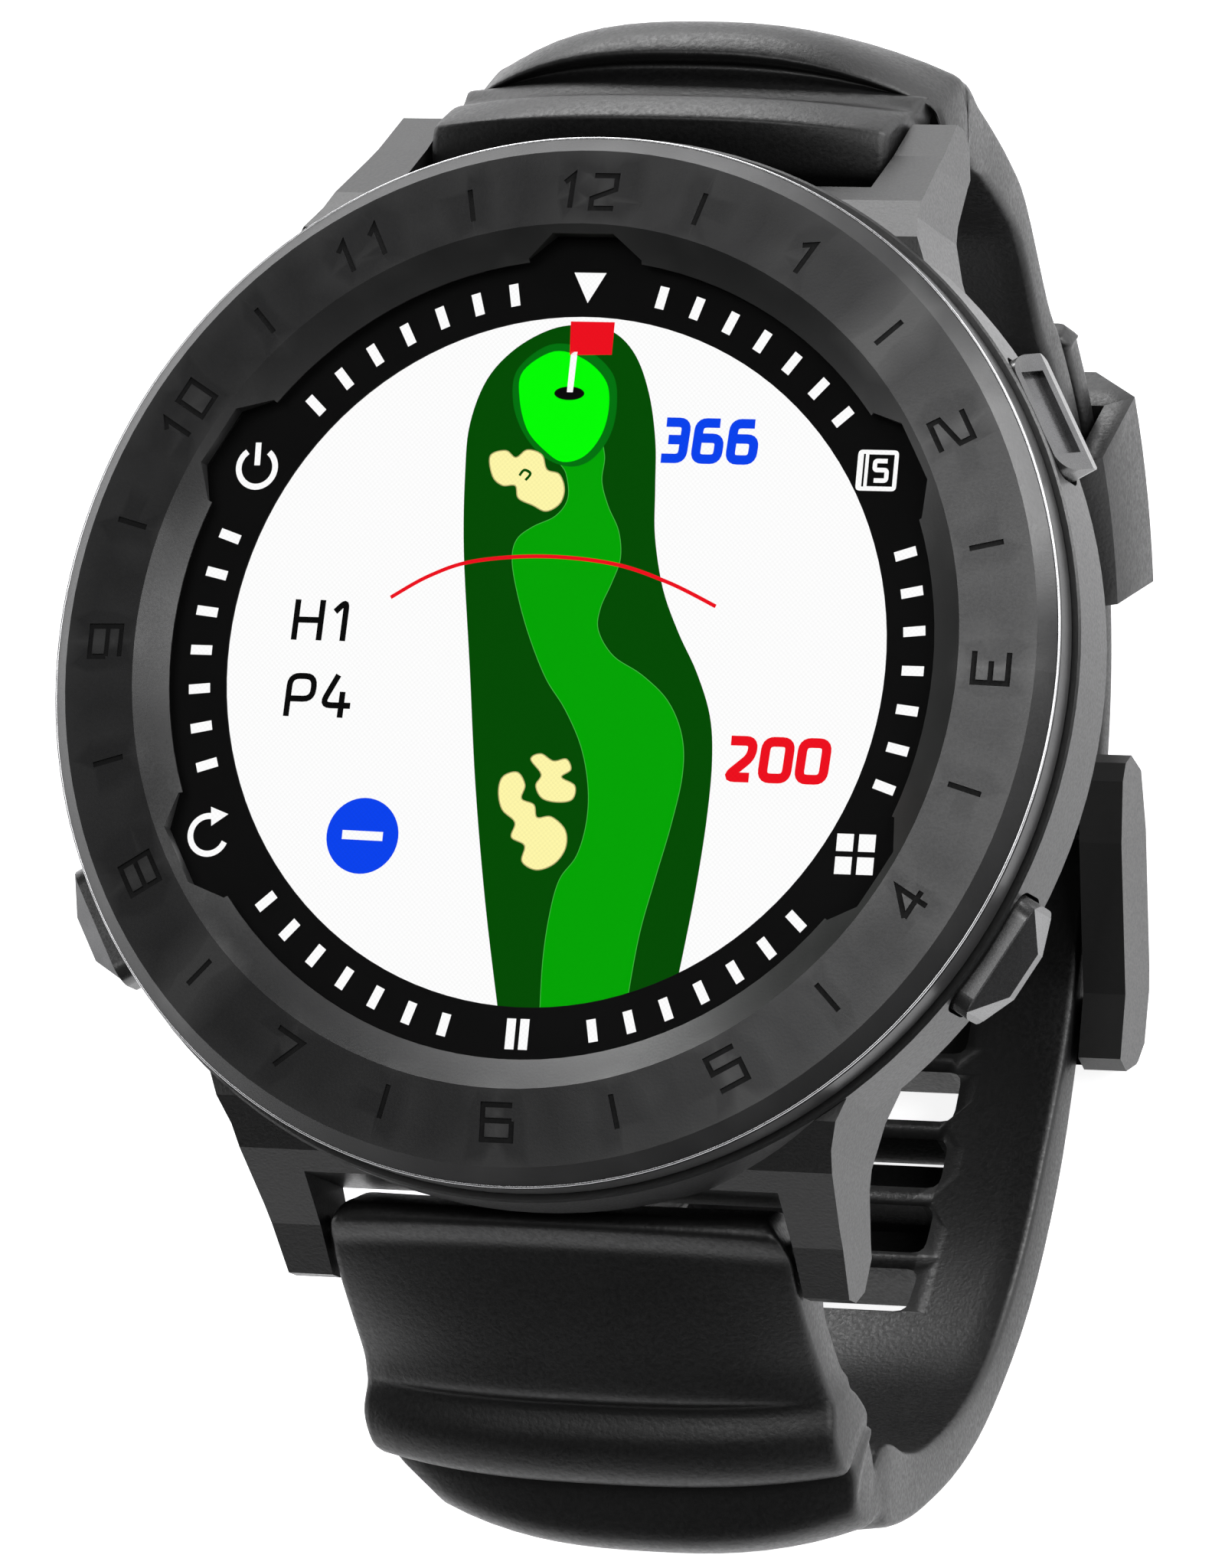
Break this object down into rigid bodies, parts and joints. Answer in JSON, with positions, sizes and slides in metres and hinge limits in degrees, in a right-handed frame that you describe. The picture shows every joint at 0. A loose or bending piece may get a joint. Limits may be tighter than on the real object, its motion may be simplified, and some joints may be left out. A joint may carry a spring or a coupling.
{
  "type": "golf gps watch",
  "caption": "Round golf GPS watch with an engraved bezel, side buttons and a folded rubber strap buckled into a loop, standing dial up.",
  "frame": {"origin": "on the floor, below the middle of the whole watch", "axes": "+X towards 3 o'clock, +Y towards 12 o'clock, +Z the way the dial faces"},
  "size_m": [0.0472, 0.0676, 0.0471],
  "materials": {
    "case_polymer": "fine matt moulded polymer",
    "bezel_metal": "dark grey coated metal, satin",
    "engraving_black": "matt black infill",
    "crystal_glass": "clear hardened glass",
    "seal_rubber": "moulded silicone",
    "dial_black": "black printed film",
    "display_glass": "reflective display",
    "guide_clear": "clear light guide",
    "chassis_plastic": "moulded black",
    "board_green": "solder mask",
    "chip_black": "moulded epoxy",
    "ceramic": "fired ceramic",
    "battery_foil": "laminated foil",
    "steel": "turned steel",
    "gold": "gold plated",
    "strap_rubber": "satin black silicone with a fine grain",
    "button_metal": "dark chrome, polished",
    "buckle_metal": "black coated steel"
  },
  "bodies": {
    "watch": {"mid_case": "case_polymer", "bezel_ring": "bezel_metal", "bezel_marks": "engraving_black", "crystal": "crystal_glass", "crystal_gasket": "seal_rubber", "dial_mask": "dial_black", "display_panel": "display_glass", "light_guide": "guide_clear", "chassis": "chassis_plastic", "gps_antenna": "ceramic", "main_board": "board_green", "board_chips": "chip_black", "battery": "battery_foil", "vibration_motor": "steel", "button_switches": "chip_black", "pusher_tubes": "steel", "button_seals": "seal_rubber", "case_back": "case_polymer", "back_gasket": "seal_rubber", "back_screws": "steel", "charging_contacts": "gold", "lug_spring_bars": "steel", "strap_short": "strap_rubber", "strap_long": "strap_rubber", "buckle_spring_bar": "steel", "spring_score": "steel", "spring_menu": "steel", "spring_back": "steel", "spring_power": "steel"},
    "button_score": {"button_score": "button_metal", "clip_score": "steel"},
    "button_menu": {"button_menu": "button_metal", "clip_menu": "steel"},
    "button_back": {"button_back": "button_metal", "clip_back": "steel"},
    "button_power": {"button_power": "button_metal", "clip_power": "steel"},
    "keeper": {"keeper_loop": "strap_rubber"},
    "buckle": {"buckle_frame": "buckle_metal"},
    "tongue": {"buckle_tongue": "buckle_metal"}
  },
  "joints": [
    {"name": "score_press", "type": "slide", "parent": "watch", "child": "button_score", "axis": [-0.866, -0.5, 0], "range_m": [0, 0.0006], "stiffness_N_per_m": 800, "springref_m": -0.0012},
    {"name": "menu_press", "type": "slide", "parent": "watch", "child": "button_menu", "axis": [-0.866, 0.5, 0], "range_m": [0, 0.0006], "stiffness_N_per_m": 800, "springref_m": -0.0012},
    {"name": "back_press", "type": "slide", "parent": "watch", "child": "button_back", "axis": [0.866, 0.5, 0], "range_m": [0, 0.0006], "stiffness_N_per_m": 800, "springref_m": -0.0012},
    {"name": "power_press", "type": "slide", "parent": "watch", "child": "button_power", "axis": [0.866, -0.5, 0], "range_m": [0, 0.0006], "stiffness_N_per_m": 800, "springref_m": -0.0012},
    {"name": "keeper_slide", "type": "hinge", "parent": "watch", "child": "keeper", "pos_m": [0, 0.0056, 0.02515], "axis": [1, 0, 0], "range_deg": [-4, 8]},
    {"name": "buckle_open", "type": "hinge", "parent": "watch", "child": "buckle", "pos_m": [0, 0.00415, 0.0043], "axis": [1, 0, 0], "range_deg": [0, 14]},
    {"name": "tongue_lift", "type": "hinge", "parent": "buckle", "child": "tongue", "pos_m": [0, 0.00415, 0.0043], "axis": [1, 0, 0], "range_deg": [0, 6]}
  ]
}
